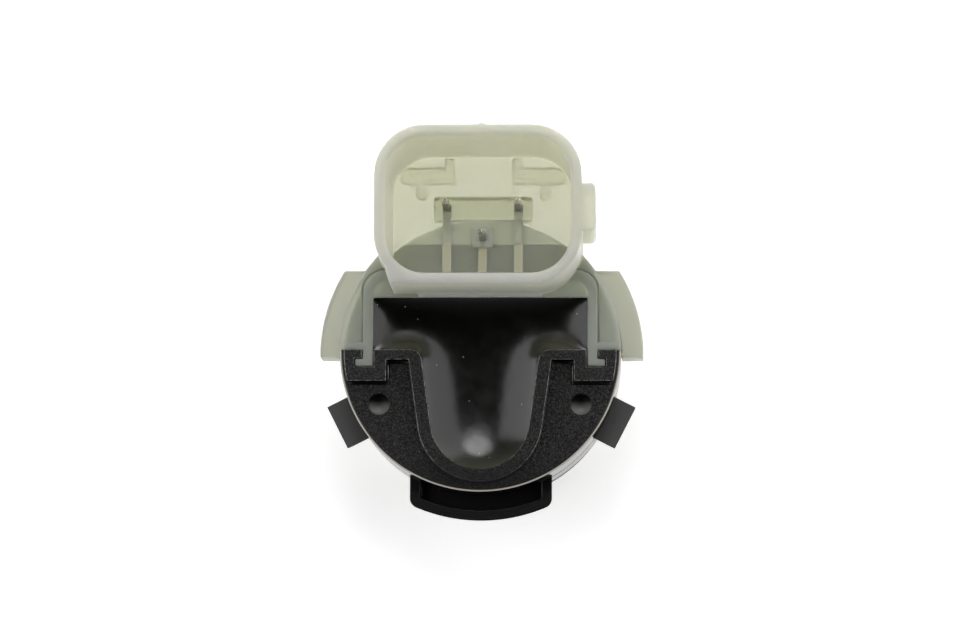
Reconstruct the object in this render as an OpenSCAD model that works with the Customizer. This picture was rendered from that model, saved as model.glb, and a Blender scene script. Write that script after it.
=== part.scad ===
// Ultrasonic parking sensor with a rear plug socket.
// Origin: centre of the front face. +Z runs to the rear, +Y to the plug side. Millimetres.

/* [Body] */
// Radius of the round body
body_r = 14.1; // [13.5:0.1:15.5]
// Length of the black housing behind the decoupling ring
house_l = 10; // [9:0.1:12]
// Plane on which the plug moulding sits, from the front end of the housing
seat_up = 2; // [1.8:0.1:2.4]
// Wall of the round shell
shell_wall = 1.3; // [1:0.1:1.6]
// Wall of the front bore that takes the circuit board
bore_wall = 1.5; // [1.3:0.05:1.8]
// Split line between housing and plug moulding
split_y = 0.1; // [0:0.05:0.4]
// Chamfer on the rear outer edge
edge_chamfer = 0.2; // [0.1:0.05:0.4]
// Place of the parting groove, from the front end of the housing
groove_up = 4; // [3:0.1:5]
// Width of the parting groove
groove_w = 0.4; // [0.2:0.05:0.6]
// Depth of the parting groove
groove_d = 0.2; // [0.1:0.05:0.3]

/* [Rear face] */
// Step from the raised lip down to the flats
flat_drop = 0.5; // [0.3:0.05:0.8]
// Thickness of the rear wall under the flats
rear_wall = 1.2; // [1:0.1:1.6]
// Radius of the round end of the well
well_r = 4.95; // [4.5:0.05:5.4]
// Slope of the well sides, degrees
well_taper = 8; // [4:0.5:10]
// Width of the raised lip round the well
lip_w = 1.3; // [1:0.05:1.5]
// Gap between the raised lip and the rear outer edge
lip_gap = 0.95; // [0.6:0.05:1.4]
// Radius of the well mouth corners
mouth_r = 1.1; // [0.6:0.1:1.6]
// Inner reach of the rail blocks past the potting opening
rail_in = 1.35; // [1:0.05:1.8]
// Depth of the rail blocks below the hooks
rail_d = 1.5; // [1.2:0.05:2]
// Ledge outside the rail blocks
rail_ledge = 0.45; // [0.3:0.05:0.6]
// Depth of the cross bar below the split
bar_d = 1; // [0.8:0.05:1.3]
// Width of the slot under the cross bar
slot_w = 0.35; // [0.25:0.05:0.5]
// Depth of the slot under the cross bar
slot_d = 0.9; // [0.8:0.05:1.1]
// Width of the relief round the rail blocks
relief_w = 0.3; // [0.2:0.05:0.4]
// Depth of the relief round the rail blocks
relief_d = 0.65; // [0.4:0.05:0.75]
// Radius of the two blind holes
blind_r = 1.05; // [0.8:0.05:1.2]
// Distance of the blind holes from the outer edge
blind_in = 2.65; // [2.5:0.05:3]
// Angle of the blind holes below the split, degrees
blind_a = 28; // [27:0.5:34]
// Depth of the blind holes
blind_d = 0.6; // [0.5:0.05:1.2]
// Radius of the round hole bottoms over that of the holes
bowl_more = 1.1; // [0.6:0.1:2]
// Wall round the blind holes
blind_wall = 0.9; // [0.7:0.1:1.2]

/* [Lugs] */
// Rear surface of the lugs and wings below the rear rim
lug_drop = 4; // [3:0.1:4.4]
// Thickness of the lugs and wings
lug_t = 3.5; // [3:0.1:3.9]
// Draft of the lugs over their thickness
lug_draft = 0.35; // [0.2:0.05:0.5]
// Reach of the side lugs
side_lug_out = 2.2; // [1.5:0.05:3]
// Width of the side lugs
side_lug_w = 4.7; // [4:0.1:5.4]
// Angle of the side lugs below the split, degrees
side_lug_a = 27; // [24:1:32]
// Reach of the bottom lug
base_lug_out = 2.65; // [2.2:0.05:3.2]
// Half width of the bottom lug
base_lug_x = 7.15; // [6.5:0.05:7.8]
// Corner radius of the bottom lug
base_lug_c = 1; // [0.6:0.1:1.4]
// Walls of the tray in the bottom lug
tray_wall = 1.05; // [0.8:0.05:1.3]
// Depth of the tray in the bottom lug
tray_d = 2; // [1:0.1:2.6]
// Reach of the wings
wing_out = 2.25; // [1.5:0.05:3]
// Lower edge of the wings below the split
wing_low = 0.35; // [0.2:0.05:0.6]
// Upper edge of the wings above the split
wing_h = 8.5; // [7.5:0.1:9.2]

/* [Plug moulding] */
// Distance of the potting opening from the outer edge
open_in = 3.35; // [3.2:0.05:3.6]
// Height of the potting opening above the split
open_h = 5.25; // [5:0.05:5.5]
// Wall of the potting chamber
chamber_wall = 1; // [0.8:0.05:1.1]
// Height of the potting chamber above the opening
chamber_h = 1.75; // [1.4:0.05:2]
// Corner radius inside the potting chamber
chamber_c = 1.1; // [0.8:0.05:1.3]
// Thickness of the rear plate
plate_t = 1.4; // [1.1:0.1:1.6]
// Step outside the chamber wall
shelf_drop = 0.2; // [0.1:0.05:0.3]
// Width of the line round the chamber wall
line_w = 0.16; // [0.12:0.02:0.24]
// Extra depth of the line round the chamber wall
line_d = 0.3; // [0.15:0.05:0.4]
// Full height band at the end of the shelf
shelf_end = 0.75; // [0.5:0.05:1]
// Length of the hooks below the split
hook_l = 1.65; // [1.5:0.05:1.9]
// Height of the hook feet
hook_foot_h = 0.7; // [0.5:0.05:0.8]
// Reach of the hook feet
hook_foot_x = 0.75; // [0.5:0.05:0.9]
// Front end of the hooks above the seat
hook_up = 1.5; // [1:0.1:3]
// Free play round the hooks
hook_play = 0.1; // [0.05:0.01:0.15]

/* [Socket] */
// Height of the rim above the rear face
rim_up = 8; // [6.5:0.1:10]
// Half width of the socket
socket_x = 10.25; // [9.9:0.05:10.6]
// Lower edge of the socket above the potting opening
socket_up = 0.35; // [0.2:0.05:0.5]
// Height of the socket
socket_h = 15.85; // [15:0.05:17]
// Wall of the socket
socket_wall = 1.1; // [0.9:0.05:1.2]
// Outer corner radius of the socket
socket_c = 5; // [4.5:0.1:5.2]
// Space between circuit board and socket floor
floor_gap = 0.9; // [0.8:0.05:1.1]
// Thickness of the socket floor
floor_t = 1.2; // [1.1:0.05:1.4]
// Lead-in chamfer inside the rim
lead_in = 0.3; // [0.15:0.05:0.45]
// Sideways place of the gate mark on the upper socket wall
gate_x = 0.4; // [-1:0.1:1]
// Width of the gate mark
gate_w = 0.6; // [0.4:0.1:1]
// Length of the gate mark
gate_l = 1; // [0.6:0.1:1.4]
// Height of the gate mark
gate_out = 0.15; // [0.1:0.05:0.25]
// Half width of the thick foot of the lower socket wall
foot_x = 6.2; // [5.6:0.1:6.8]
// Height of the thick foot above the rear rim
foot_up = 0.3; // [0.1:0.05:0.6]
// Reach of the key rib
key_x = 1.35; // [1:0.05:1.7]
// Lower end of the key rib above the socket edge
key_up = 5.2; // [5:0.1:6]
// Width of the key rib
key_w = 4.8; // [4:0.1:5.2]
// Corner radius of the key rib
key_c = 0.6; // [0.3:0.05:0.9]
// Length of the key rib from the rim
key_l = 9; // [6:0.5:10]
// Distance of the coding corner from the socket side
code_in = 1.25; // [1:0.05:1.4]
// Height of the coding corner
code_h = 2.8; // [2.4:0.1:3.2]
// Wall of the pin block round the outer pins
block_wall = 0.9; // [0.7:0.05:1.1]
// Depth of the pin block under the floor
block_t = 2.2; // [1.5:0.1:2.6]
// Depth of the ribs under the overhang
rib_t = 1.4; // [1:0.1:2]
// Width of the ribs under the overhang
rib_w = 1.6; // [1.2:0.1:2]
// Inner end of the ribs under the overhang
rib_x0 = 3; // [2.6:0.1:3.4]
// Outer end of the ribs under the overhang
rib_x1 = 8.4; // [8:0.1:8.6]
// Distance of the ribs from the far side of the socket
rib_in = 1.95; // [1.8:0.05:2.2]
// Place of the rib stubs
stub_x = 5.9; // [5.6:0.1:6.2]
// Width of the rib stubs and fins
stub_w = 0.9; // [0.8:0.05:1.2]
// Length of the rib fins
fin_l = 1; // [0.6:0.1:1.2]
// Wall between outer edge and potting under the floor
fill_wall = 2.6; // [2.4:0.1:3]
// Half width of the potting under the floor
fill_x = 8.6; // [8:0.1:9]

/* [Pins] */
// Thickness of the pins
pin_t = 0.63; // [0.5:0.01:0.7]
// Width of the pin legs
leg_w = 0.85; // [0.7:0.01:1]
// Half spacing of the outer pins
pin_x = 3.65; // [3.4:0.05:3.9]
// Outer pins above the lower socket edge
pin_up = 9.6; // [9.4:0.05:9.9]
// Centre pin above the lower socket edge
centre_pin_up = 6.5; // [6.3:0.05:6.8]
// Length of the pins above the socket floor
pin_l = 5.1; // [4:0.1:7]
// Length of the pointed tip
tip_l = 0.6; // [0.4:0.05:0.8]
// Flat on the pointed tip
tip_flat = 0.24; // [0.16:0.01:0.3]
// Length of the pins below the board
pin_tail = 0.45; // [0.35:0.05:0.5]
// Half width of the pad at the centre pin
pad_x = 1.05; // [0.8:0.05:1.2]
// Height of the pad at the centre pin
pad_h = 0.4; // [0.2:0.05:0.6]

/* [Potting] */
// Level of the potting in the middle below the rear rim
fill_drop = 1.8; // [1.5:0.05:2.2]
// Level of the potting at the walls below the rear rim
wet_drop = 0.4; // [0.1:0.05:0.8]
// Width of the wet edge
wet_w = 0.9; // [0.5:0.05:1.4]
// Level of the potting under the rear plate below the middle
pocket_drop = 0.8; // [0.5:0.05:1]

/* [Transducer] */
// Step from the body to the diaphragm cup
cup_in = 0.8; // [0.5:0.05:1.2]
// Length of the visible side of the cup
cup_l = 6; // [5.8:0.1:7]
// Step from the cup to its collar
collar_in = 2.1; // [1.9:0.05:2.4]
// Length of the cup collar
collar_l = 3.6; // [2.8:0.1:4]
// Thickness of the diaphragm
diaphragm_t = 0.9; // [0.6:0.05:1.2]
// Front edge radius of the cup
cup_edge = 0.6; // [0.3:0.05:0.8]
// Wall of the cup collar
collar_wall = 1.2; // [1:0.05:1.3]
// Half width of the oval cup cavity
oval_r = 5.5; // [5:0.1:5.8]
// Half spacing of the oval cup cavity
oval_x = 4; // [3.5:0.1:4.2]
// Depth of the round cup cavity
cavity_d = 4.2; // [3.8:0.1:4.6]
// Length of the visible band of the decoupling ring
ring_l = 4; // [3.8:0.1:5]
// Step from the body to the decoupling ring
ring_in = 0.2; // [0.1:0.05:0.35]
// Chamfer on the decoupling ring
ring_chamfer = 0.3; // [0.2:0.05:0.4]
// Width of the decoupling ring behind the collar
ring_lip = 0.6; // [0.4:0.05:0.8]
// Radius of the piezo disc
piezo_r = 4; // [3.5:0.1:4.5]
// Thickness of the piezo disc
piezo_t = 0.4; // [0.3:0.05:0.6]
// Rear face of the damping pad below the end of the cup
damper_drop = 0.6; // [0.2:0.1:1.2]
// Radius of the lead wires
lead_r = 0.35; // [0.25:0.05:0.4]
// Sideways place of the lead wires
lead_x = 1.6; // [1.2:0.1:2.2]
// Free play round the lead wires
lead_play = 0.15; // [0.1:0.01:0.25]

/* [Electronics] */
// Thickness of the circuit board
board_t = 1; // [0.8:0.1:1.2]
// Rear face of the circuit board above the seat
board_up = 0.3; // [0.2:0.05:0.5]
// Free play round the circuit board
board_play = 0.1; // [0.05:0.01:0.2]
// Free play round the pins in the board
pin_play = 0.14; // [0.1:0.01:0.2]
// Radius of the transformer flanges
core_r = 2.6; // [2.2:0.1:3]
// Radius of the transformer hub
hub_r = 1.2; // [1:0.1:1.4]
// Height of the transformer
core_h = 4; // [3.4:0.1:4.4]
// Thickness of the transformer flanges
flange_t = 0.8; // [0.6:0.05:1]
// Gap between winding and flange edge
winding_in = 0.3; // [0.2:0.05:0.5]
// Place of the transformer above the round end of the well
core_up = 1.4; // [0:0.1:2]
// Width of the control chip
chip_w = 4; // [3.4:0.1:4.4]
// Length of the control chip
chip_l = 4.4; // [4:0.1:4.8]
// Height of the control chip
chip_h = 1.6; // [1:0.1:2]
// Sideways place of the control chip
chip_x = 5.6; // [5.2:0.1:6.4]
// Reach of the control chip legs
chip_reach = 0.8; // [0.6:0.05:1]
// Height of the control chip legs
chip_leg_h = 0.4; // [0.2:0.05:0.6]
// Spacing of the control chip legs
chip_pitch = 0.65; // [0.5:0.01:0.7]
// Number of control chip legs on a side
chip_legs = 6; // [4:1:6]
// Width of the storage capacitor
cap_w = 3.5; // [2.8:0.1:4]
// Length of the storage capacitor
cap_l = 2.8; // [2:0.1:3.2]
// Height of the storage capacitor
cap_h = 1.9; // [1.2:0.1:2.4]
// Sideways place of the storage capacitor
cap_x = 6.4; // [5.8:0.1:7]
// Length of the small chip parts
small_l = 1.6; // [1.2:0.05:1.8]
// Width of the small chip parts
small_w = 0.8; // [0.6:0.05:1]
// Height of the small chip parts
small_h = 0.5; // [0.3:0.05:0.6]
// Spacing of the small chip parts
small_pitch = 1.5; // [1.2:0.05:1.8]
// Sideways place of the chip capacitors
small_cap_x = 1.8; // [1.5:0.1:2.4]
// Sideways place of the chip resistors
small_res_x = -0.8; // [-1:0.1:-0.5]
// Radius of the solder joints
solder_r = 0.85; // [0.7:0.05:0.95]
// Height of the solder joints
solder_h = 0.35; // [0.2:0.05:0.4]
// Gap between the outer solder joints and the decoupling ring
solder_gap = 0.05; // [0.02:0.01:0.2]

/* [Hidden] */
$fn = 96;
// Overshoot of cuts, thickness of a lofted edge, and radius of a corner left sharp
cut = 1;
skin = 0.01;
sharp = 0.1;
far = 3 * body_r;
// Steps of the rounds
corner_n = 10;
arc_n = 28;
edge_n = 6;
// Radii from the outside in
bore_r = body_r - bore_wall;
inner_r = body_r - shell_wall;
board_r = bore_r - board_play;
cup_r = body_r - cup_in;
collar_r = cup_r - collar_in;
cavity_r = collar_r - collar_wall;
ring_r = body_r - ring_in;
lip_r = collar_r - ring_lip;
side_lug_r = body_r + side_lug_out;
base_lug_r = body_r + base_lug_out;
wing_r = body_r + wing_out;
// Levels from the front face to the rim
lead_z = diaphragm_t + piezo_t;
collar_z = cup_l + collar_l;
cavity_z = collar_z - cavity_d;
damper_z = collar_z - damper_drop;
house_z = cup_l + ring_l;
groove_z = house_z + groove_up;
seat_z = house_z + seat_up;
board_z = seat_z + board_up;
board_z0 = board_z - board_t;
spigot_z = board_z0 - board_play;
tail_z = board_z0 - pin_tail;
hook_z = seat_z + hook_up;
floor_z0 = board_z + floor_gap;
floor_z = floor_z0 + floor_t;
leg_z = floor_z0 + (floor_t - pin_t) / 2;
tip_z = floor_z + pin_l;
back_z = house_z + house_l;
flat_z = back_z - flat_drop;
plate_z0 = back_z - plate_t;
fill_z = back_z - fill_drop;
wet_z = back_z - wet_drop;
set_z = fill_z - pocket_drop;
lug_z = back_z - lug_drop;
lug_z0 = lug_z - lug_t;
foot_z = back_z + foot_up;
rim_z = back_z + rim_up;
// Places across the rear face
open_x = body_r - open_in;
open_y = split_y + open_h;
chamber_x = open_x + chamber_wall;
chamber_y = open_y + chamber_h;
hook_y = split_y - hook_l;
rail_x = open_x - rail_in;
rail_y = hook_y - rail_d;
rail_end = sqrt((body_r - rail_ledge) ^ 2 - rail_y ^ 2) - relief_w;
bar_y = split_y - bar_d;
shelf_y = split_y + shelf_end;
well_y = well_r + lip_w + lip_gap - body_r;
well_mid = (open_y + split_y) / 2;
bowl_r = blind_r + bowl_more;
blind_x = (body_r - blind_in) * cos(blind_a);
blind_y = -(body_r - blind_in) * sin(blind_a);
wing_y0 = split_y - wing_low;
wing_y1 = split_y + wing_h;
socket_y0 = open_y + socket_up;
socket_y1 = socket_y0 + socket_h;
key_y0 = socket_y0 + key_up;
code_x = code_in - socket_x;
pin_y = socket_y0 + pin_up;
centre_pin_y = socket_y0 + centre_pin_up;
tail_y = sqrt((lip_r - solder_gap - solder_r) ^ 2 - pin_x ^ 2);
turn_y = tail_y - pin_t / 2;
block_x = pin_x + leg_w / 2 + block_wall;
block_y = pin_y + pin_t / 2 + block_wall;
rib_y = socket_y1 - rib_in;
fill_y = body_r - fill_wall;
core_y = well_y + core_up;
lead_hole = lead_r + lead_play;

// Points on an arc from angle a0 to a1
function arc(c, r, a0, a1, n) =
  [for (i = [0:n]) c + r * [cos(a0 + (a1 - a0) * i / n), sin(a0 + (a1 - a0) * i / n)]];

// Outline of a rectangle with corner radii lower left, lower right, upper right, upper left
function round_rect(x0, x1, y0, y1, c) = concat(
  arc([x0 + c[0], y0 + c[0]], c[0], 180, 270, corner_n),
  arc([x1 - c[1], y0 + c[1]], c[1], 270, 360, corner_n),
  arc([x1 - c[2], y1 - c[2]], c[2], 0, 90, corner_n),
  arc([x0 + c[3], y1 - c[3]], c[3], 90, 180, corner_n)
);

// Half width of a tapered U of end radius r at height y
function u_x(r, y) = r / cos(well_taper) + (y - well_y) * tan(well_taper);

// Round end of a tapered U
function u_end(r) = arc([0, well_y], r, 180 + well_taper, 360 - well_taper, arc_n);

// Outline of a tapered U of end radius r, from its left top to its right top
function u_outline(r, top) = concat([[-u_x(r, top), top]], u_end(r), [[u_x(r, top), top]]);

// Well mouth corner: centre and tangent points of the round between cross bar and U side
mouth_y = split_y - mouth_r;
mouth_x = u_x(well_r, mouth_y) + mouth_r / cos(well_taper);
function mouth_left() = arc([-mouth_x, mouth_y], mouth_r, 90, well_taper, edge_n);
function mouth_right() = arc([mouth_x, mouth_y], mouth_r, 180 - well_taper, 90, edge_n);

// Outline of the potting opening, anticlockwise from the upper left corner
function well_outline() = concat(
  [[-open_x, open_y], [-open_x, split_y]],
  mouth_left(),
  u_end(well_r),
  mouth_right(),
  [[open_x, split_y], [open_x, open_y]]
);

// Place on the middle line of the potting that an outline point runs to
spine_x = open_x - (open_y - split_y) / 2;
function spine(p) =
  p[1] < well_y
    ? [0, well_y]
    : abs(p[0]) > mouth_x + mouth_r
      ? [sign(p[0]) * spine_x, well_mid]
      : [0, well_mid];

// Shares of the way from the wall to the middle line, one for each ring of the wet surface
wet_shares = [-0.08, 0.05, 0.11, 0.19, 0.3, 0.5, 0.85];
function wet_ring(k) = [
  for (p = well_outline())
    let (
      run = spine(p) - p,
      d = norm(run) * wet_shares[k],
      z = k == len(wet_shares) - 1 ? fill_z : fill_z + (wet_z - fill_z) * exp(-d / wet_w)
    ) [p[0] + run[0] * wet_shares[k], p[1] + run[1] * wet_shares[k], z]
];

module disc(r, z0, z1) {
  translate([0, 0, z0]) cylinder(r = r, h = z1 - z0);
}

module prism(points, z0, z1) {
  translate([0, 0, z0]) linear_extrude(z1 - z0) polygon(points);
}

module block(x0, x1, y0, y1, z0, z1) {
  translate([x0, y0, z0]) cube([x1 - x0, y1 - y0, z1 - z0]);
}

module both_sides() {
  children();
  mirror([1, 0, 0]) children();
}

function lug_outline(x, r, c, top) =
  let (
    lug_cx = x - c,
    lug_cy = -sqrt(pow(r - c, 2) - pow(x - c, 2)),
    turn = atan2(-lug_cy, lug_cx)
  ) concat(
    [[-x, top]],
    arc([-lug_cx, lug_cy], c, 180, 180 + turn, edge_n),
    arc([0, 0], r, 180 + turn, 360 - turn, arc_n),
    arc([lug_cx, lug_cy], c, 360 - turn, 360, edge_n),
    [[x, top]]
  );

function hook_outline(play) = [
  [open_x - play, shelf_y],
  [open_x - play, hook_y - play],
  [chamber_x + hook_foot_x + play, hook_y - play],
  [chamber_x + hook_foot_x + play, hook_y + hook_foot_h + play],
  [chamber_x + play, hook_y + hook_foot_h + play],
  [chamber_x + play, shelf_y]
];

// Side lug, narrower and shorter at its front by the draft
module side_lug() {
  half = side_lug_w / 2;
  rotate([0, 0, -side_lug_a])
    intersection() {
      rotate([90, 0, 90])
        linear_extrude(far)
          polygon([[lug_draft - half, lug_z0], [half - lug_draft, lug_z0], [half, lug_z], [-half, lug_z]]);
      rotate([90, 0, 0])
        linear_extrude(2 * side_lug_w, center = true)
          polygon([
            [body_r - shell_wall / 2, lug_z0],
            [side_lug_r - lug_draft, lug_z0],
            [side_lug_r, lug_z],
            [body_r - shell_wall / 2, lug_z]
          ]);
    }
}

module base_lug() {
  difference() {
    hull() {
      prism(lug_outline(base_lug_x, base_lug_r, base_lug_c, 0), lug_z - skin, lug_z);
      prism(
        lug_outline(base_lug_x - lug_draft, base_lug_r - lug_draft, base_lug_c, 0),
        lug_z0, lug_z0 + skin
      );
    }
    prism(
      lug_outline(base_lug_x - tray_wall, base_lug_r - tray_wall, base_lug_c / 2, 0),
      lug_z - tray_d, lug_z + cut
    );
    disc(body_r - shell_wall / 2, lug_z0 - cut, lug_z + cut);
  }
}

// Blind hole with a round bottom
module blind_hole() {
  translate([blind_x, blind_y, flat_z])
    rotate_extrude()
      polygon(concat(
        arc([0, bowl_r - blind_d], bowl_r, -90, -acos(blind_r / bowl_r), edge_n),
        [[blind_r, cut], [0, cut]]
      ));
}

module parting_groove() {
  rotate_extrude()
    polygon([
      [body_r - groove_d, groove_z],
      [body_r + cut, groove_z - groove_w * (groove_d + cut) / groove_d / 2],
      [body_r + cut, groove_z + groove_w * (groove_d + cut) / groove_d / 2]
    ]);
}

module rear_chamfer(top) {
  rotate_extrude()
    polygon([
      [body_r - edge_chamfer, top],
      [body_r - edge_chamfer, top + cut],
      [body_r + cut, top + cut],
      [body_r + cut, top - edge_chamfer - cut]
    ]);
}

// Lower half of the shell, cored from the front round the well
module lower_shell() {
  difference() {
    intersection() {
      disc(body_r, house_z, flat_z);
      block(-far, far, -far, split_y, house_z - cut, back_z);
    }
    rear_chamfer(flat_z);
    difference() {
      intersection() {
        disc(inner_r, house_z - cut, flat_z - rear_wall);
        block(-far, far, -far, rail_y - shell_wall, house_z - cut, back_z);
      }
      prism(u_outline(well_r + lip_w, split_y), house_z - cut, back_z);
      both_sides() translate([blind_x, blind_y, 0])
        disc(blind_r + blind_wall, flat_z - blind_d - blind_wall, flat_z);
    }
    both_sides() blind_hole();
    both_sides() rail_relief();
  }
}

// Slot under the cross bar and relief round the rail blocks
module rail_relief() {
  block(u_x(well_r + lip_w, bar_y), rail_x, bar_y - slot_w, bar_y, flat_z - slot_d, flat_z + cut);
  prism([
    [rail_x - relief_w, rail_y - relief_w],
    [rail_end, rail_y - relief_w],
    [rail_end, rail_y],
    [rail_x, rail_y],
    [rail_x, bar_y - slot_w / 2],
    [rail_x - relief_w, bar_y - slot_w / 2]
  ], flat_z - relief_d, flat_z + cut);
}

// Raised lip, cross bar and rail blocks
module raised_rim() {
  prism(u_outline(well_r + lip_w, split_y), flat_z - slot_d, back_z);
  block(-rail_x, rail_x, bar_y, split_y, flat_z - slot_d, back_z);
  intersection() {
    disc(body_r - rail_ledge, flat_z - slot_d, back_z);
    both_sides() block(rail_x, far, rail_y, split_y, flat_z - slot_d, back_z);
  }
}

module housing() {
  color([0.07, 0.07, 0.07])
  difference() {
    union() {
      difference() {
        union() {
          disc(body_r, house_z, seat_z);
          lower_shell();
        }
        parting_groove();
      }
      raised_rim();
      both_sides() side_lug();
      base_lug();
    }
    disc(bore_r, house_z - cut, board_z);
    prism(well_outline(), house_z, back_z + cut);
    both_sides() prism(hook_outline(hook_play), hook_z - hook_play, back_z + cut);
  }
}

module wing() {
  intersection() {
    difference() {
      disc(wing_r, lug_z0, lug_z);
      disc(inner_r, lug_z0 - cut, lug_z + cut);
      block(-far, far, -far, split_y, lug_z0 - cut, lug_z + cut);
    }
    block(open_x, far, wing_y0, wing_y1, lug_z0 - cut, lug_z + cut);
  }
  intersection() {
    difference() {
      disc(wing_r, lug_z0, lug_z);
      disc(body_r + hook_play, lug_z0 - cut, lug_z + cut);
    }
    block(open_x, far, wing_y0, shelf_y, lug_z0 - cut, lug_z + cut);
  }
}

function socket_outline(in) = round_rect(
  -socket_x + in, socket_x - in, socket_y0 + in, socket_y1 - in,
  [for (i = [0:3]) socket_c - in]
);

function chamber_outline(out) = round_rect(
  -open_x - out, open_x + out, hook_y, chamber_y + out, [sharp, sharp, chamber_c + out, chamber_c + out]
);

// Space under the rear plate beside the socket, up to level z1
module plate_pocket(z1) {
  difference() {
    prism(chamber_outline(0), board_z, z1);
    block(-far, far, -far, well_mid, board_z - cut, z1 + cut);
    prism(socket_outline(0), board_z - cut, z1 + cut);
    block(-foot_x, foot_x, -far, far, board_z - cut, z1 + cut);
  }
}

// Space under the socket floor, filled with potting
module floor_pocket() {
  prism(
    round_rect(-fill_x, fill_x, well_mid, fill_y, [sharp, sharp, chamber_c, chamber_c]),
    board_z, floor_z0
  );
}

module key_rib() {
  prism(
    round_rect(socket_x - socket_wall / 2, socket_x + key_x, key_y0, key_y0 + key_w,
      [sharp, key_c, key_c, sharp]),
    rim_z - key_l, rim_z
  );
}

module coding_corner() {
  prism(
    [
      [code_x, socket_y0 + code_h],
      [code_x, socket_y0 + socket_wall],
      [code_x + socket_wall / 3, socket_y0],
      [-socket_c, socket_y0],
      [-socket_c, socket_y0 + code_h]
    ],
    back_z - plate_t / 2, rim_z
  );
}

module overhang_ribs() {
  rib_z = floor_z0 - rib_t;
  both_sides() {
    block(rib_x0, rib_x1, rib_y - rib_w, rib_y, rib_z, floor_z);
    block(stub_x, stub_x + stub_w, block_y - sharp, rib_y, rib_z, floor_z);
    block(rib_x0, rib_x0 + stub_w, rib_y - sharp, rib_y + fin_l, rib_z, floor_z);
  }
  block(-block_x, block_x, body_r + board_play, block_y, floor_z0 - block_t, floor_z);
}

module shelf_step() {
  difference() {
    block(-far, far, shelf_y, far, back_z - shelf_drop, back_z + cut);
    prism(chamber_outline(chamber_wall), back_z - shelf_drop - cut, back_z + 2 * cut);
    prism(socket_outline(0), back_z - shelf_drop - cut, back_z + 2 * cut);
  }
  difference() {
    prism(chamber_outline(chamber_wall + line_w), back_z - shelf_drop - line_d, back_z + cut);
    prism(chamber_outline(chamber_wall), back_z - plate_t, back_z + 2 * cut);
    prism(socket_outline(0), back_z - plate_t, back_z + 2 * cut);
    block(-far, far, -far, shelf_y, back_z - plate_t, back_z + 2 * cut);
  }
}

module connector_body() {
  color([0.8, 0.81, 0.74])
  difference() {
    union() {
      difference() {
        union() {
          intersection() {
            disc(body_r, seat_z, back_z);
            block(-far, far, split_y, far, seat_z - cut, back_z + cut);
          }
          both_sides() wing();
        }
        shelf_step();
        plate_pocket(plate_z0);
      }
      difference() {
        prism(socket_outline(0), floor_z0, rim_z);
        disc(body_r, floor_z0 - cut, floor_z0);
      }
      block(-foot_x, foot_x, open_y, socket_y0 + socket_wall, floor_z0, foot_z);
      both_sides() prism(hook_outline(0), hook_z, back_z);
      block(gate_x - gate_w / 2, gate_x + gate_w / 2, socket_y1 - socket_wall / 2,
        socket_y1 + gate_out, rim_z - gate_l, rim_z);
      key_rib();
      coding_corner();
      overhang_ribs();
    }
    difference() {
      prism(socket_outline(socket_wall), floor_z, rim_z + cut);
      block(-pad_x, pad_x, centre_pin_y - pad_x, centre_pin_y + pad_x, floor_z - cut,
        floor_z + pad_h);
    }
    hull() {
      prism(socket_outline(socket_wall), rim_z - lead_in, rim_z - lead_in + skin);
      prism(socket_outline(socket_wall - lead_in), rim_z, rim_z + skin);
    }
    block(-open_x, open_x, split_y - cut, open_y, seat_z - cut, back_z + cut);
    disc(bore_r, seat_z - cut, board_z);
    floor_pocket();
    pin_left();
    pin_right();
    pin_centre();
  }
}

module pin(x, y) {
  color([0.78, 0.77, 0.74])
  union() {
    block(x - pin_t / 2, x + pin_t / 2, y - pin_t / 2, y + pin_t / 2, leg_z, tip_z - tip_l);
    translate([x, y, tip_z - tip_l]) rotate([0, 0, 45])
      cylinder(r1 = pin_t / sqrt(2), r2 = tip_flat / sqrt(2), h = tip_l, $fn = 4);
    block(x - leg_w / 2, x + leg_w / 2, turn_y, y + pin_t / 2, leg_z, leg_z + pin_t);
    block(x - pin_t / 2, x + pin_t / 2, turn_y, turn_y + pin_t, tail_z, leg_z + pin_t);
  }
}

module pin_left() {
  pin(-pin_x, pin_y);
}

module pin_right() {
  pin(pin_x, pin_y);
}

module pin_centre() {
  pin(0, centre_pin_y);
}

// Air above the potting, with the surface drawn up the walls as it wets them
module wet_hollow() {
  rings = [for (k = [0:len(wet_shares) - 1]) wet_ring(k)];
  n = len(rings[0]);
  lid = [for (p = rings[0]) [p[0], p[1], rim_z]];
  layers = concat([lid], rings);
  m = len(layers);
  bands = [
    for (k = [0:m - 2], i = [0:n - 1])
      let (j = (i + 1) % n)
        each [
          [k * n + i, (k + 1) * n + j, (k + 1) * n + i],
          [k * n + i, k * n + j, (k + 1) * n + j]
        ]
  ];
  top = [for (i = [n - 1:-1:0]) i];
  bottom = [for (i = [0:n - 1]) (m - 1) * n + i];
  polyhedron([for (layer = layers) each layer], concat(bands, [top], [bottom]));
}

module potting_compound() {
  color([0.03, 0.03, 0.03])
  difference() {
    union() {
      prism(well_outline(), board_z, back_z);
      plate_pocket(set_z);
      floor_pocket();
    }
    wet_hollow();
    pin_left();
    pin_right();
    pin_centre();
    transformer_core();
    transformer_winding();
    control_chip();
    storage_capacitor();
    chip_capacitors();
    chip_resistors();
  }
}

module decoupling_ring() {
  color([0.1, 0.1, 0.1])
  rotate_extrude()
    polygon([
      [collar_r, cup_l],
      [ring_r - ring_chamfer, cup_l],
      [ring_r, cup_l + ring_chamfer],
      [ring_r, house_z - ring_chamfer],
      [ring_r - ring_chamfer, house_z],
      [board_r, house_z],
      [board_r, spigot_z],
      [lip_r, spigot_z],
      [lip_r, collar_z],
      [collar_r, collar_z]
    ]);
}

module oval(r, z0, z1) {
  for (x = [-oval_x, oval_x]) translate([x, 0, 0]) disc(r, z0, z1);
  block(-oval_x, oval_x, -r, r, z0, z1);
}

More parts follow.
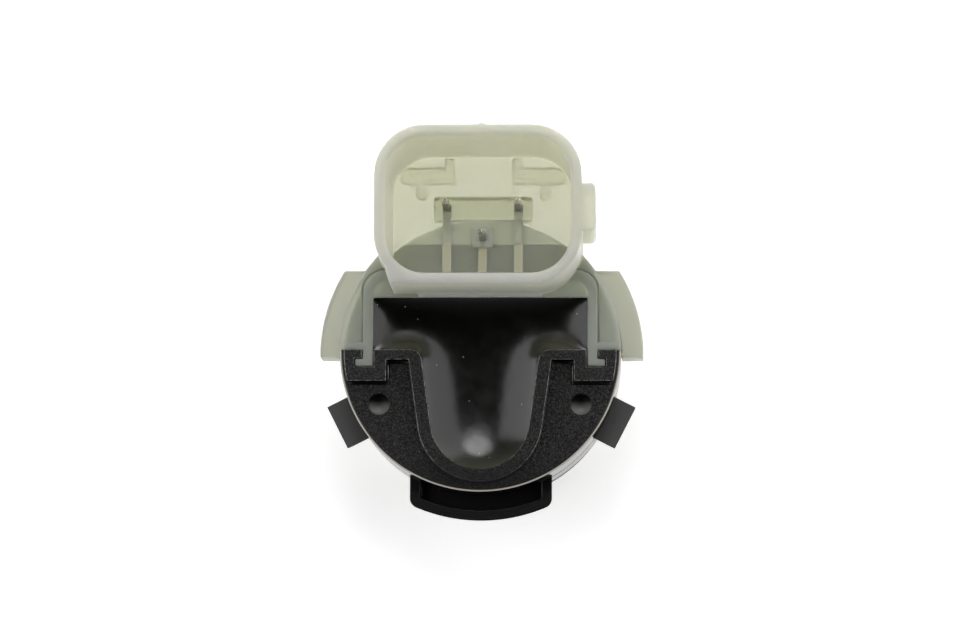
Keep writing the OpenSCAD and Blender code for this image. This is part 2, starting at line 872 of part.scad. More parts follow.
module diaphragm_cup() {
  color([0.75, 0.76, 0.77])
  difference() {
    rotate_extrude()
      polygon(concat(
        [[0, 0]],
        arc([cup_r - cup_edge, cup_edge], cup_edge, 270, 360, edge_n),
        [
          [cup_r, cup_l],
          [collar_r, cup_l],
          [collar_r, collar_z],
          [cavity_r, collar_z],
          [cavity_r, cavity_z],
          [0, cavity_z]
        ]
      ));
    oval(oval_r, diaphragm_t, cavity_z + cut);
  }
}

module piezo_disc() {
  color([0.85, 0.83, 0.76]) disc(piezo_r, diaphragm_t, lead_z);
}

module damping_pad() {
  color([0.55, 0.57, 0.6])
  difference() {
    union() {
      oval(oval_r, lead_z, cavity_z);
      disc(cavity_r, cavity_z, damper_z);
    }
    for (x = [-lead_x, lead_x]) translate([x, 0, 0]) disc(lead_hole, lead_z - cut, damper_z + cut);
  }
}

module lead(x) {
  color([0.7, 0.2, 0.15]) translate([x, 0, 0]) disc(lead_r, lead_z, board_z);
}

module signal_lead() {
  lead(-lead_x);
}

module ground_lead() {
  lead(lead_x);
}

module board_hole(x, y, r) {
  translate([x, y, 0]) disc(r, board_z0 - cut, board_z + cut);
}

module circuit_board() {
  color([0.08, 0.32, 0.16])
  difference() {
    disc(board_r, board_z0, board_z);
    for (x = [-pin_x, 0, pin_x]) board_hole(x, tail_y, pin_t / sqrt(2) + pin_play);
    for (x = [-lead_x, lead_x]) board_hole(x, 0, lead_hole);
  }
}

module control_chip() {
  color([0.12, 0.12, 0.13])
  translate([-chip_x, well_mid, board_z]) {
    block(-chip_w / 2, chip_w / 2, -chip_l / 2, chip_l / 2, 0, chip_h);
    for (i = [0:chip_legs - 1]) translate([0, (i - (chip_legs - 1) / 2) * chip_pitch, 0])
      block(-chip_w / 2 - chip_reach, chip_w / 2 + chip_reach, -chip_pitch / 4, chip_pitch / 4,
        0, chip_leg_h);
  }
}

module transformer_core() {
  color([0.2, 0.2, 0.21])
  translate([0, core_y, board_z])
  rotate_extrude()
    polygon([
      [0, 0], [core_r, 0], [core_r, flange_t], [hub_r, flange_t],
      [hub_r, core_h - flange_t], [core_r, core_h - flange_t], [core_r, core_h], [0, core_h]
    ]);
}

module transformer_winding() {
  color([0.6, 0.32, 0.14])
  translate([0, core_y, board_z])
  difference() {
    disc(core_r - winding_in, flange_t, core_h - flange_t);
    disc(hub_r, flange_t - cut, core_h);
  }
}

module storage_capacitor() {
  color([0.75, 0.55, 0.15])
  translate([cap_x, well_mid, board_z])
    block(-cap_w / 2, cap_w / 2, -cap_l / 2, cap_l / 2, 0, cap_h);
}

module small_parts(x) {
  for (i = [-1:1]) translate([x, well_mid + i * small_pitch, board_z])
    block(-small_l / 2, small_l / 2, -small_w / 2, small_w / 2, 0, small_h);
}

module chip_capacitors() {
  color([0.6, 0.5, 0.38]) small_parts(small_cap_x);
}

module chip_resistors() {
  color([0.1, 0.1, 0.11]) small_parts(small_res_x);
}

module solder_joints() {
  color([0.75, 0.75, 0.73])
  difference() {
    union() {
      for (x = [-pin_x, 0, pin_x]) translate([x, tail_y, board_z0 - solder_h])
        cylinder(r1 = solder_r / 2, r2 = solder_r, h = solder_h);
      for (x = [-lead_x, lead_x]) translate([x, 0, board_z0 - solder_h])
        cylinder(r1 = solder_r / 2, r2 = solder_r, h = solder_h);
    }
    pin_left();
    pin_right();
    pin_centre();
    signal_lead();
    ground_lead();
  }
}

housing();
connector_body();
pin_left();
pin_right();
pin_centre();
potting_compound();
decoupling_ring();
diaphragm_cup();
piezo_disc();
damping_pad();
signal_lead();
ground_lead();
circuit_board();
control_chip();
transformer_core();
transformer_winding();
storage_capacitor();
chip_capacitors();
chip_resistors();
solder_joints();
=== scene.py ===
import math

import bmesh
import bpy
import numpy as np
from mathutils import Matrix, Vector
from mathutils.geometry import delaunay_2d_cdt


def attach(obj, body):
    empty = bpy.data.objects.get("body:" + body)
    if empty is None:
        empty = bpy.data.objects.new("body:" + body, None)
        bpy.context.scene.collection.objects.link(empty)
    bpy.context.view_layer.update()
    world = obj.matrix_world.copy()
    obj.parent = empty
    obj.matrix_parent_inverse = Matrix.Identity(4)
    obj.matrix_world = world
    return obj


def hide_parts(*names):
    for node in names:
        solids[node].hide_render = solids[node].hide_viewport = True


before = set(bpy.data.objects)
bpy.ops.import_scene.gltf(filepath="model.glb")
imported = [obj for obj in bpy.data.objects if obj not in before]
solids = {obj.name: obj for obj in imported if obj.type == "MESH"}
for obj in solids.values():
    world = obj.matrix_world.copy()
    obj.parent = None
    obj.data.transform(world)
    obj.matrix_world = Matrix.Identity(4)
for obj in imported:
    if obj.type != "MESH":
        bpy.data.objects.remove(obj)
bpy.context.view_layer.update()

MM = 0.001
scene = bpy.context.scene

# Places and levels of the solids, in millimetres

# Housing: body, rear face, raised lip, top of the tray lug and blind holes
BODY_R, FLAT_Z, BACK_Z, TRAY_Y = 14.1, 19.5, 20.0, -11.5
HOLE_X, HOLE_Y, HOLE_R = 10.11, -5.38, 1.05

# Plug moulding: wings, socket, its floor and rim, key rib and pin block
WING_Y, WING_Z = 8.6, 16.0
SOCKET_X, SOCKET_Y0, SOCKET_Y1, SOCKET_C, SOCKET_WALL = 10.25, 5.7, 21.55, 5.0, 1.1
FLOOR_Z0, FLOOR_Z, RIM_Z = 13.2, 14.4, 28.0
KEY_Y0, KEY_Y1, KEY_Z = 10.9, 15.7, 19.0
BLOCK_X, BLOCK_Y0, BLOCK_Y1 = 4.975, 14.2, 16.515

# Pins and their legs, and the line below which the socket floor looks dark
PIN_X, PIN_Y, CENTRE_PIN_Y, LEG_W, TIP_Z = 3.65, 15.3, 12.2, 0.85, 18.9
LEG_Y, FILL_Y = 8.7, 11.5

# Well: the wide part, the U below it and the rounding between them
OPEN_X, SPLIT_Y, OPEN_Y = 10.75, 0.1, 5.35
WELL_R, WELL_Y, MOUTH_R = 4.95, -6.9, 1.1
TAPER = math.radians(8)

# Potting: cut under the CAD surface, level in the middle, level at the wall and reach of the rise
CUT_Z, FILL_Z, WET_Z, WET_REACH = 17.7, 18.2, 19.6, 2.0

# Points closer than this are one, and masks reach this far past a face to take in all of it
MERGE, PAST = 0.002, 0.2


# Camera, looking down on the rear face from a little below and to the right

DISTANCE, RISE, FOCAL, SENSOR = 400, 3.04, 150, 36
forward = Vector((-0.038, 0.125, -0.9914)).normalized()
upward = Vector((0, 0.9914, 0.125))
upward = (upward - forward * upward.dot(forward)).normalized()
right = forward.cross(upward)
eye = (Vector((0, 0, BACK_Z)) - DISTANCE * forward + RISE * upward) * MM
lens = bpy.data.cameras.new("camera")
lens.lens, lens.sensor_width = FOCAL, SENSOR
lens.clip_start, lens.clip_end = 0.01, 10
camera = bpy.data.objects.new("camera", lens)
camera.matrix_world = Matrix.Translation(eye) @ Matrix((right, upward, -forward)).transposed().to_4x4()
scene.collection.objects.link(camera)
scene.camera = camera


# Node helpers

def add(tree, kind, inputs=None, **settings):
    """A new node: settings are its own, and inputs are values or sockets to link."""
    node = tree.nodes.new("ShaderNode" + kind)
    for key, value in settings.items():
        setattr(node, key, value)
    for key, value in (inputs or {}).items():
        if isinstance(value, bpy.types.NodeSocket):
            tree.links.new(value, node.inputs[key])
        else:
            node.inputs[key].default_value = value
    return node


def surface(name, values):
    """A new material, its node tree and its shader, with these values on the shader's sockets."""
    material = bpy.data.materials.new(name)
    material.use_nodes = True
    tree = material.node_tree
    shader = tree.nodes["Principled BSDF"]
    for key, value in values.items():
        shader.inputs[key].default_value = value
    return material, tree, shader


def place(tree):
    return add(tree, "TexCoord").outputs["Object"]


def facing(tree):
    return add(tree, "TexCoord").outputs["Normal"]


def noise(tree, grain, detail=3.0, stretch=None):
    """Noise with features about grain millimetres across."""
    at = place(tree)
    if stretch:
        at = add(tree, "Mapping", {"Vector": at, "Scale": stretch}).outputs[0]
    inputs = {"Vector": at, "Scale": 1 / (grain * MM), "Detail": detail, "Roughness": 0.55}
    return add(tree, "TexNoise", inputs).outputs[0]


def cells(tree, grain):
    """Distance to the nearest of points scattered about grain millimetres apart."""
    return add(tree, "TexVoronoi", {"Vector": place(tree), "Scale": 1 / (grain * MM)}).outputs["Distance"]


def spread(tree, value, low, high, to_low, to_high):
    """Value, stretched from low..high to to_low..to_high and held there."""
    inputs = {"Value": value, "From Min": low, "From Max": high, "To Min": to_low, "To Max": to_high}
    return add(tree, "MapRange", inputs).outputs[0]


def sums(tree, operation, a, b=0.0):
    return add(tree, "Math", {0: a, 1: b}, operation=operation).outputs[0]


def mixed(tree, share, a, b):
    """Colour a where share is 0 and b where it is 1."""
    return add(tree, "Mix", {0: share, 6: a, 7: b}, data_type="RGBA").outputs[2]


def axis(tree, vector, i):
    return add(tree, "SeparateXYZ", {0: vector}).outputs[i]


def reach(tree):
    """Distance from the part's axis."""
    level = add(tree, "VectorMath", {0: place(tree), 1: (1, 1, 0)}, operation="MULTIPLY").outputs[0]
    return add(tree, "VectorMath", {0: level}, operation="LENGTH").outputs["Value"]


def band(tree, value, low, high, soft=0.05):
    """1 where value lies between low and high millimetres, and 0 elsewhere."""
    middle, half = (low + high) / 2 * MM, (high - low) / 2 * MM
    off = sums(tree, "ABSOLUTE", sums(tree, "SUBTRACT", value, middle))
    return spread(tree, off, half - soft * MM, half + soft * MM, 1.0, 0.0)


def above(tree, value, level):
    """1 where value is more than level millimetres, and 0 elsewhere."""
    return band(tree, value, level, level + 100)


def below(tree, value, level):
    """1 where value is less than level millimetres, and 0 elsewhere."""
    return band(tree, value, level - 100, level)


def every(tree, first, *others):
    """The product of masks."""
    for other in others:
        first = sums(tree, "MULTIPLY", first, other)
    return first


def either(tree, first, *others):
    """The largest of masks."""
    for other in others:
        first = sums(tree, "MAXIMUM", first, other)
    return first


def without(tree, mask):
    """The rest of a mask."""
    return sums(tree, "SUBTRACT", 1.0, mask)


def bumped(tree, shader, height, depth):
    """Relief on the shader: height is a socket, and depth is in millimetres."""
    inputs = {"Height": height, "Distance": depth * MM, "Strength": 1.0}
    tree.links.new(add(tree, "Bump", inputs).outputs[0], shader.inputs["Normal"])


def wear(tree, shader, colours, rough, grain):
    """Colour and roughness that drift by noise of this grain."""
    tree.links.new(mixed(tree, noise(tree, grain), *colours), shader.inputs["Base Color"])
    tree.links.new(spread(tree, noise(tree, grain / 3), 0.3, 0.7, *rough), shader.inputs["Roughness"])


# Materials

def from_socket_middle(tree, x, y):
    """Distance from the socket's middle block, which is SOCKET_C all along the socket's outline."""
    across = sums(tree, "SUBTRACT", sums(tree, "ABSOLUTE", x), (SOCKET_X - SOCKET_C) * MM)
    along = sums(tree, "ABSOLUTE", sums(tree, "SUBTRACT", y, (SOCKET_Y0 + SOCKET_Y1) / 2 * MM))
    along = sums(tree, "SUBTRACT", along, ((SOCKET_Y1 - SOCKET_Y0) / 2 - SOCKET_C) * MM)
    across, along = (sums(tree, "MAXIMUM", side, 0.0) for side in (across, along))
    return sums(tree, "SQRT", sums(tree, "ADD", every(tree, across, across), every(tree, along, along)))


def over_legs(tree, x, half, soft):
    """1 over the flat legs of the pins, to this half width."""
    x = sums(tree, "ABSOLUTE", x)
    return either(tree, band(tree, x, PIN_X - half, PIN_X + half, soft), band(tree, x, -half, half, soft))


def natural_plastic():
    material, tree, shader = surface("natural_plastic", {
        "IOR": 1.16, "Subsurface Radius": (1.2, 1.15, 1.0), "Subsurface Scale": 1.6 * MM,
    })
    tree.links.new(spread(tree, noise(tree, 1.0), 0.3, 0.7, 0.31, 0.4), shader.inputs["Roughness"])
    bumped(tree, shader, noise(tree, 0.35), 0.004)

    x, y, z = (axis(tree, place(tree), i) for i in range(3))
    out = reach(tree)
    past = from_socket_middle(tree, x, y)
    inside = below(tree, past, SOCKET_C + 0.15)
    top = band(tree, z, FLOOR_Z - PAST, FLOOR_Z + PAST)
    base = every(tree, top, below(tree, past, SOCKET_C - SOCKET_WALL))
    lining = every(tree, inside, above(tree, z, FLOOR_Z + PAST))
    skirt = every(tree, inside, above(tree, past, SOCKET_C - SOCKET_WALL / 2))
    skirt = every(tree, skirt, above(tree, z, FLOOR_Z0 - PAST))
    key = every(tree, above(tree, x, SOCKET_X - PAST), band(tree, y, KEY_Y0 - 0.3, KEY_Y1 + 0.3))
    key = every(tree, key, above(tree, z, KEY_Z - PAST))
    walls = either(tree, lining, skirt, key, above(tree, z, BACK_Z + 0.1))
    wings = every(tree, above(tree, out, BODY_R), below(tree, y, WING_Y + PAST), below(tree, z, WING_Z + 0.1))
    backed = every(tree, base, below(tree, out, BODY_R))
    ledge = every(tree, backed, above(tree, y, FILL_Y))
    strips = every(tree, base, over_legs(tree, x, LEG_W / 2, 0.05), band(tree, y, LEG_Y, FILL_Y))
    veil = every(tree, base, over_legs(tree, x, LEG_W / 2 + 0.1, 0.3), band(tree, y, FILL_Y, PIN_Y, 0.3))
    beside = above(tree, sums(tree, "ABSOLUTE", x), PIN_X / 2)
    veil = every(tree, veil, either(tree, beside, below(tree, y, CENTRE_PIN_Y)))
    block = every(tree, base, band(tree, x, -BLOCK_X, BLOCK_X), band(tree, y, BLOCK_Y0, BLOCK_Y1))

    # Painted light and shade: one plastic in lighter and darker tones by region, standing in for the light
    # that passes through it. The socket walls, rim and key rib are painted light and the socket floor lighter
    # than the outside. The floor over the housing body is a painted greener shade. The wings, the pin block,
    # the plastic over the legs and the strips over them are painted darker.
    outer_tone = mixed(tree, noise(tree, 3.0), (0.7, 0.74, 0.645, 1), (0.68, 0.72, 0.625, 1))
    floor_tone = mixed(tree, noise(tree, 3.0), (0.82, 0.805, 0.715, 1), (0.79, 0.775, 0.685, 1))
    tone = mixed(tree, base, outer_tone, floor_tone)
    tone = mixed(tree, backed, tone, (0.82, 0.85, 0.72, 1))
    tone = mixed(tree, wings, tone, (0.61, 0.62, 0.57, 1))
    tone = mixed(tree, block, tone, (0.72, 0.72, 0.59, 1))
    tone = mixed(tree, veil, tone, (0.74, 0.745, 0.58, 1))
    tone = mixed(tree, walls, tone, (0.97, 0.98, 0.84, 1))
    tone = mixed(tree, strips, tone, (0.72, 0.7, 0.56, 1))
    tree.links.new(tone, shader.inputs["Base Color"])

    clear = spread(tree, either(tree, ledge, strips), 0, 1, 0.66, 0.38)
    clear = sums(tree, "MINIMUM", clear, spread(tree, veil, 0, 1, 1, 0.12))
    clear = sums(tree, "MINIMUM", clear, spread(tree, walls, 0, 1, 1, 0.48))
    clear = sums(tree, "MAXIMUM", clear, every(tree, above(tree, z, RIM_Z - 0.5), 0.6))
    tree.links.new(clear, shader.inputs["Transmission Weight"])
    tree.links.new(without(tree, strips), shader.inputs["Subsurface Weight"])
    depth = add(tree, "VolumeAbsorption", {"Color": (0.5, 0.5, 0.24, 1), "Density": 200.0})
    tree.links.new(depth.outputs[0], tree.nodes["Material Output"].inputs["Volume"])
    return material


def black_housing():
    material, tree, shader = surface("housing_black", {"IOR": 1.5})
    x, y, z = (axis(tree, place(tree), i) for i in range(3))
    out = reach(tree)
    lug = above(tree, out, BODY_R + 0.08)
    side_lug = every(tree, lug, above(tree, y, TRAY_Y))
    flat = spread(tree, axis(tree, facing(tree), 2), 0.97, 0.99, 0.0, 1.0)
    rear = every(tree, flat, without(tree, lug), above(tree, z, FLAT_Z - PAST))
    sloped = without(tree, flat)
    # Painted highlight: a light line painted round the chamfer of the rear edge
    rim = every(tree, sloped, band(tree, z, FLAT_Z - 0.25, FLAT_Z - 0.02))
    rim = every(tree, rim, band(tree, out, BODY_R - 0.15, BODY_R + 0.02))
    # Lower part of the rear face, where the painted edge highlight and flecks fade out
    low = spread(tree, y, -13.0 * MM, -10.0 * MM, 1.0, 0.0)
    # Painted highlight: a light line along the raised edges of the lip and blocks, broken by noise and fading
    # out towards the bottom
    edge_highlight_breaks = every(tree, spread(tree, noise(tree, 0.5), 0.4, 0.6, 0.2, 1.0), without(tree, low))
    edge_highlight = every(tree, sloped, above(tree, z, BACK_Z - 0.1), edge_highlight_breaks)
    hole = band(tree, sums(tree, "ABSOLUTE", x), HOLE_X - HOLE_R, HOLE_X + HOLE_R)
    hole = every(tree, hole, band(tree, y, HOLE_Y - HOLE_R, HOLE_Y + HOLE_R), below(tree, z, FLAT_Z - 0.06))
    # Painted light and shade in the blind holes: the lower side is painted lighter, and the reflection is
    # weakened in the upper side as painted shade
    hole_lit_side = spread(tree, y, (HOLE_Y - 0.7) * MM, (HOLE_Y + 0.4) * MM, 1.0, 0.0)
    lit, dim = every(tree, hole, hole_lit_side), every(tree, hole, without(tree, hole_lit_side))

    grain = sums(tree, "ADD", noise(tree, 0.24, 2.0), sums(tree, "MULTIPLY", noise(tree, 0.1, 1.0), 0.5))
    bumped(tree, shader, every(tree, grain, spread(tree, rear, 0, 1, 0.02, 1.0)), 0.5)
    side = every(tree, sloped, band(tree, out, BODY_R - 0.1, BODY_R + 0.06), below(tree, z, FLAT_Z - 0.3))
    gloss = sums(tree, "SUBTRACT", spread(tree, rear, 0, 1, 0.26, 0.36), every(tree, side, 0.12))
    dull = either(tree, every(tree, side_lug, 0.5), every(tree, hole, 0.4))
    tree.links.new(either(tree, gloss, dull), shader.inputs["Roughness"])
    shine = every(tree, spread(tree, rear, 0, 1, 0.5, 0.22), spread(tree, dim, 0, 1, 1.0, 0.15))
    tree.links.new(shine, shader.inputs["Specular IOR Level"])

    # Painted highlights: light flecks in the rear face's colour stand in for the lit sides of its grain. They
    # are painted fainter towards the bottom as painted shade.
    grain_glint = every(tree, spread(tree, noise(tree, 0.12, 1.0), 0.42, 0.7, 0.0, 1.0), rear)
    grain_glint = every(tree, grain_glint, spread(tree, low, 0, 1, 1.0, 0.35))
    tone = mixed(tree, grain_glint, (0.0008, 0.0008, 0.0008, 1), (0.045, 0.045, 0.044, 1))
    tone = mixed(tree, side_lug, tone, (0.034, 0.034, 0.033, 1))
    tone = mixed(tree, lit, tone, (0.075, 0.078, 0.07, 1))
    tone = mixed(tree, rim, tone, (0.38, 0.35, 0.3, 1))
    tone = mixed(tree, edge_highlight, tone, (0.16, 0.16, 0.15, 1))
    tree.links.new(tone, shader.inputs["Base Color"])
    return material


def potting_black():
    material, tree, shader = surface("potting", {"IOR": 1.5})
    tone = mixed(tree, noise(tree, 4.0), (0.0012, 0.0012, 0.001, 1), (0.0022, 0.002, 0.0016, 1))
    # Painted reflection: slopes facing the socket are painted a lighter olive, standing in for the socket
    # wall reflected in them
    socket_reflection = spread(tree, axis(tree, facing(tree), 1), 0.2, 0.45, 0.0, 1.0)
    tone = mixed(tree, socket_reflection, tone, (0.026, 0.026, 0.018, 1))
    dust = spread(tree, cells(tree, 1.2), 0.03, 0.06, 1.0, 0.0)
    tree.links.new(mixed(tree, dust, tone, (0.4, 0.4, 0.38, 1)), shader.inputs["Base Color"])
    tree.links.new(spread(tree, noise(tree, 1.3), 0.3, 0.7, 0.17, 0.23), shader.inputs["Roughness"])
    bumped(tree, shader, noise(tree, 2.2, 2.0), 0.02)
    return material


def tinned():
    material, tree, shader = surface("tinned_contact", {"Metallic": 1.0})
    z = axis(tree, place(tree), 2)
    # Painted light: the legs inside the plastic are painted lighter than the pins above the floor
    dull = mixed(tree, noise(tree, 0.4), (0.93, 0.91, 0.87, 1), (0.82, 0.8, 0.76, 1))
    tone = mixed(tree, band(tree, z, FLOOR_Z, TIP_Z), dull, (0.4, 0.39, 0.37, 1))
    tree.links.new(tone, shader.inputs["Base Color"])
    tree.links.new(spread(tree, above(tree, z, FLOOR_Z), 0, 1, 0.55, 0.22), shader.inputs["Roughness"])
    bumped(tree, shader, noise(tree, 0.1, stretch=(1, 1, 0.2)), 0.006)
    return material


def turned_aluminium():
    material, tree, shader = surface("cup_aluminium", {"Metallic": 1.0})
    wear(tree, shader, [(0.62, 0.6, 0.57, 1), (0.52, 0.5, 0.47, 1)], [0.3, 0.42], 2.0)
    bumped(tree, shader, noise(tree, 0.3, stretch=(0.02, 0.02, 3)), 0.006)
    return material


def grained(name, colours, rough, grain, depth, values=None):
    """A plain material whose colour, gloss and relief all come from noise of one grain."""
    material, tree, shader = surface(name, values or {})
    wear(tree, shader, colours, rough, grain * 4)
    bumped(tree, shader, noise(tree, grain), depth)
    return material


def tones(r, g, b, shift=0.85):
    """A colour and the same colour a little darker."""
    return [(r, g, b, 1), (r * shift, g * shift, b * shift, 1)]


plastic = natural_plastic()
black = black_housing()
pitch = potting_black()
tin = tinned()
cup = turned_aluminium()
silicone = grained("silicone", tones(0.02, 0.02, 0.021), [0.55, 0.72], 0.12, 0.012)
metal = {"Metallic": 1.0}
looks = {
    "housing": black,
    "connector_body": plastic,
    "pin_left": tin, "pin_right": tin, "pin_centre": tin,
    "potting_compound": pitch,
    "decoupling_ring": silicone,
    "diaphragm_cup": cup,
    "piezo_disc": grained("piezo", tones(0.72, 0.68, 0.58), [0.4, 0.55], 0.15, 0.008),
    "damping_pad": grained("damper", tones(0.05, 0.05, 0.055), [0.7, 0.85], 0.2, 0.03),
    "signal_lead": grained("lead_red", tones(0.55, 0.05, 0.04), [0.35, 0.45], 0.3, 0.01),
    "ground_lead": grained("lead_black", tones(0.02, 0.02, 0.02), [0.35, 0.45], 0.3, 0.01),
    "circuit_board": grained("board", tones(0.03, 0.16, 0.07), [0.3, 0.42], 0.25, 0.01),
    "control_chip": grained("chip_black", tones(0.018, 0.018, 0.02), [0.45, 0.6], 0.1, 0.01),
    "transformer_core": grained("ferrite", tones(0.05, 0.048, 0.047), [0.4, 0.6], 0.12, 0.015),
    "transformer_winding": grained("copper_wire", tones(0.72, 0.34, 0.16), [0.25, 0.4], 0.12, 0.02, metal),
    "storage_capacitor": grained("capacitor_case", tones(0.75, 0.55, 0.12), [0.4, 0.5], 0.2, 0.01),
    "chip_capacitors": grained("chip_ceramic", tones(0.5, 0.4, 0.3), [0.4, 0.5], 0.15, 0.008),
    "chip_resistors": grained("chip_glaze", tones(0.03, 0.03, 0.032), [0.3, 0.4], 0.15, 0.008),
    "solder_joints": grained("solder", tones(0.68, 0.68, 0.66), [0.22, 0.35], 0.3, 0.01, metal),
}
for name, material in looks.items():
    slots = solids[name].data.materials
    slots.clear()
    slots.append(material)


# Softened edges on the two mouldings

def soften(name, width):
    """Edges of a solid rounded to this width, in millimetres, by modifiers."""
    solid = solids[name]
    weld = solid.modifiers.new("weld", "WELD")
    weld.merge_threshold = MERGE * MM
    flat = solid.modifiers.new("flat", "DECIMATE")
    flat.decimate_type, flat.angle_limit = "DISSOLVE", math.radians(0.3)
    edge = solid.modifiers.new("edge", "BEVEL")
    edge.width, edge.segments = width * MM, 3
    edge.limit_method, edge.angle_limit = "ANGLE", math.radians(40)
    edge.use_clamp_overlap = False
    solid.modifiers.new("shade", "WEIGHTED_NORMAL")


# Potting surface, level in the middle and drawn up the walls of the well

def arc(x, y, r, a0, a1, n):
    """Points on an arc about x, y, between two angles in degrees."""
    turns = np.radians(np.linspace(a0, a1, n))
    return np.stack([x + r * np.cos(turns), y + r * np.sin(turns)], 1)


def well_outline(step):
    """The well's outline, anticlockwise, with points about step apart."""
    mouth_y = SPLIT_Y - MOUTH_R
    mouth_x = (WELL_R + MOUTH_R) / math.cos(TAPER) + (mouth_y - WELL_Y) * math.tan(TAPER)
    tilt = math.degrees(TAPER)
    corners = np.concatenate([
        [[-OPEN_X, OPEN_Y], [-OPEN_X, SPLIT_Y]],
        arc(-mouth_x, mouth_y, MOUTH_R, 90, tilt, 10),
        arc(0, WELL_Y, WELL_R, 180 + tilt, 360 - tilt, 60),
        arc(mouth_x, mouth_y, MOUTH_R, 180 - tilt, 90, 10),
        [[OPEN_X, SPLIT_Y], [OPEN_X, OPEN_Y]],
    ])
    line = []
    for a, b in zip(corners, np.roll(corners, -1, 0)):
        n = max(1, round(np.linalg.norm(b - a) / step))
        line.extend(a + (b - a) * i / n for i in range(n))
    return np.array(line)


def wall_distance(points, line):
    """Distance of each point from the outline, and whether it is inside."""
    nearest = np.full(len(points), 1e9)
    inside = np.zeros(len(points), bool)
    for a, b in zip(line, np.roll(line, -1, 0)):
        run = b - a
        share = np.clip((points - a) @ run / (run @ run), 0, 1)
        nearest = np.minimum(nearest, np.linalg.norm(points - a - share[:, None] * run, axis=1))
        if a[1] != b[1]:
            crosses = (points[:, 1] > min(a[1], b[1])) & (points[:, 1] <= max(a[1], b[1]))
            left = points[:, 0] < a[0] + (points[:, 1] - a[1]) / run[1] * run[0]
            inside ^= crosses & left
    return nearest, inside


def wet_levels(points, faces, fixed):
    """Share of the rise at each point: 1 at the first fixed points, falling off as a wetting liquid does."""
    n = len(points)
    stiff, mass = np.zeros((n, n)), np.zeros(n)
    for face in faces:
        corner = points[list(face)]
        side = np.roll(corner, 1, 0) - np.roll(corner, -1, 0)
        area = 0.5 * abs(side[0, 0] * side[1, 1] - side[0, 1] * side[1, 0])
        stiff[np.ix_(face, face)] += side @ side.T / (4 * area)
        mass[list(face)] += area / 3
    stiff[np.diag_indices(n)] += mass / WET_REACH ** 2
    free = np.arange(fixed, n)
    level = np.ones(n)
    level[free] = np.linalg.solve(stiff[np.ix_(free, free)], -stiff[np.ix_(free, range(fixed))].sum(1))
    return (level - level.min()) / (1 - level.min())


def surface_points(line):
    """Points to span the surface with: the outline, rows along it and an even grid in the middle."""
    run = np.roll(line, -1, 0) - np.roll(line, 1, 0)
    inward = np.stack([-run[:, 1], run[:, 0]], 1) / np.linalg.norm(run, axis=1)[:, None]
    rows = [line]
    for gap in (0.12, 0.28, 0.5):
        row = line + gap * inward
        near, inside = wall_distance(row, line)
        rows.append(row[inside & (near > 0.9 * gap)])
    step_x, step_y, clear = 0.36, 0.31, 0.7
    grid = np.array([
        [(i + 0.5 * (j % 2)) * step_x, j * step_y] for i in range(-30, 31) for j in range(-39, 18)
    ])
    near, inside = wall_distance(grid, line)
    return np.concatenate([*rows, grid[inside & (near > clear)]])


def potting_piece():
    """The CAD solid up to a level under its surface, with a finer surface on top."""
    line = well_outline(0.3)
    points = surface_points(line)
    n = len(line)
    ring = [(i, (i + 1) % n) for i in range(n)]
    points, _, faces, *_ = delaunay_2d_cdt([Vector(p) for p in points], ring, [], 1, 1e-6)
    points = np.array([p[:] for p in points])
    heights = FILL_Z + (WET_Z - FILL_Z) * wet_levels(points, faces, n)
    mesh = bmesh.new()
    mesh.from_mesh(solids["potting_compound"].data)
    bmesh.ops.remove_doubles(mesh, verts=mesh.verts, dist=MERGE * MM)
    whole = [*mesh.verts, *mesh.edges, *mesh.faces]
    cut = bmesh.ops.bisect_plane(
        mesh, geom=whole, plane_co=(0, 0, CUT_Z * MM), plane_no=(0, 0, 1), clear_outer=True)
    bmesh.ops.contextual_create(mesh, geom=[e for e in cut["geom_cut"] if isinstance(e, bmesh.types.BMEdge)])
    top = [mesh.verts.new(Vector((x, y, z)) * MM) for (x, y), z in zip(points, heights)]
    low = [mesh.verts.new(Vector((x, y, CUT_Z)) * MM) for x, y in points[:n]]
    for face in faces:
        mesh.faces.new([top[i] for i in face]).smooth = True
    for i, j in ring:
        mesh.faces.new([top[j], top[i], low[i], low[j]])
    mesh.faces.new(low[::-1])
    bmesh.ops.recalc_face_normals(mesh, faces=mesh.faces)
    data = bpy.data.meshes.new("potting")
    mesh.to_mesh(data)
    mesh.free()
    piece = bpy.data.objects.new("potting", data)
    scene.collection.objects.link(piece)
    data.materials.append(pitch)
    return piece


potting = potting_piece()
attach(potting, "root")
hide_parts("potting_compound")

for name, width in {"housing": 0.09, "connector_body": 0.14}.items():
    soften(name, width)


# Floor, lights and sky

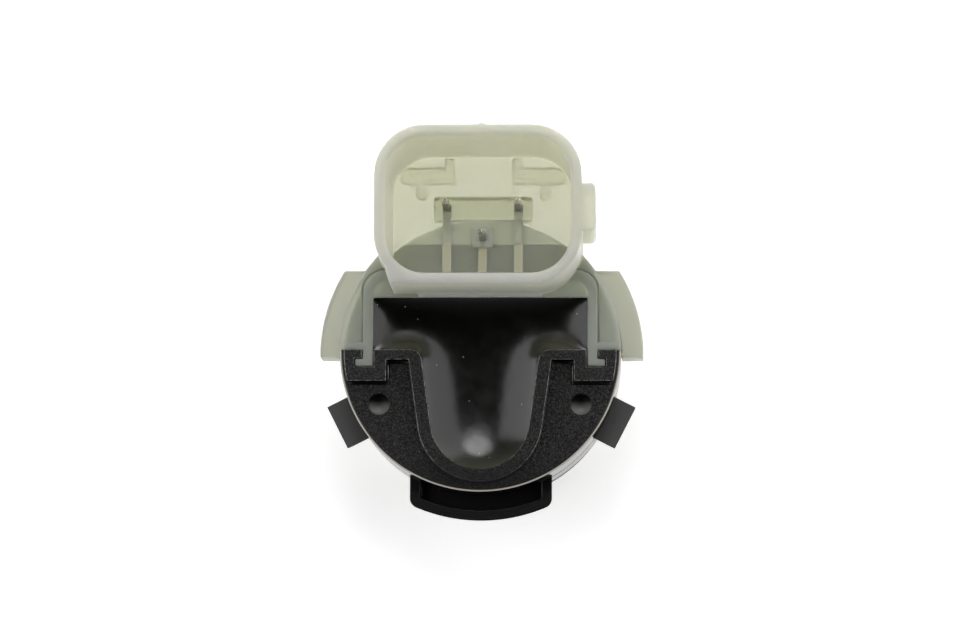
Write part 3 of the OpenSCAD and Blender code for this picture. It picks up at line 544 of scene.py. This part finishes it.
def floor():
    """A plain pale floor just under the part, a little bright of itself."""
    mesh = bmesh.new()
    bmesh.ops.create_grid(mesh, x_segments=4, y_segments=4, size=2)
    data = bpy.data.meshes.new("floor")
    mesh.to_mesh(data)
    mesh.free()
    ground = bpy.data.objects.new("floor", data)
    ground.location.z = -0.01 * MM
    scene.collection.objects.link(ground)
    material, tree, shader = surface("floor", {
        "Roughness": 0.8, "Specular IOR Level": 0.0,
        "Emission Color": (1, 1, 1, 1), "Emission Strength": 0.35,
    })
    shade = mixed(tree, noise(tree, 40), (0.92, 0.92, 0.92, 1), (0.94, 0.94, 0.94, 1))
    tree.links.new(shade, shader.inputs["Base Color"])
    data.materials.append(material)


def softbox(name, at, size, level, shape="RECTANGLE"):
    """A flat light of this brightness, aimed at the part."""
    lamp = bpy.data.lights.new(name, "AREA")
    lamp.shape, lamp.size, lamp.size_y = shape, *size
    lamp.energy = level * math.pi * size[0] * size[1]
    light = bpy.data.objects.new(name, lamp)
    light.location = at
    light.rotation_euler = (Vector((0, 0, 0.015)) - Vector(at)).to_track_quat("-Z", "Y").to_euler()
    scene.collection.objects.link(light)


def sky():
    """A dim sky that is brightest near the horizon."""
    world = bpy.data.worlds.new("studio")
    scene.world = world
    world.use_nodes = True
    tree = world.node_tree
    height = axis(tree, add(tree, "TexCoord").outputs["Generated"], 2)
    high, low = spread(tree, height, 0.2, 0.9, 0.3, 0.01), spread(tree, height, 0.1, 0.45, 0.6, 0.0)
    tree.links.new(sums(tree, "ADD", high, low), tree.nodes["Background"].inputs["Strength"])
    tree.nodes["Background"].inputs["Color"].default_value = (1, 1, 1, 1)


floor()
softbox("left", (-0.5, 0.03, 0.45), (0.6, 0.75), 2.05)
softbox("right", (0.47, 0.2, 0.45), (0.85, 0.75), 1.75)
softbox("back", (0.0, 0.35, 0.62), (0.27, 0.29), 5.0, "ELLIPSE")
softbox("far", (0.0, 0.75, 0.14), (0.8, 0.22), 3.2)
sky()
scene.view_settings.view_transform = "Standard"
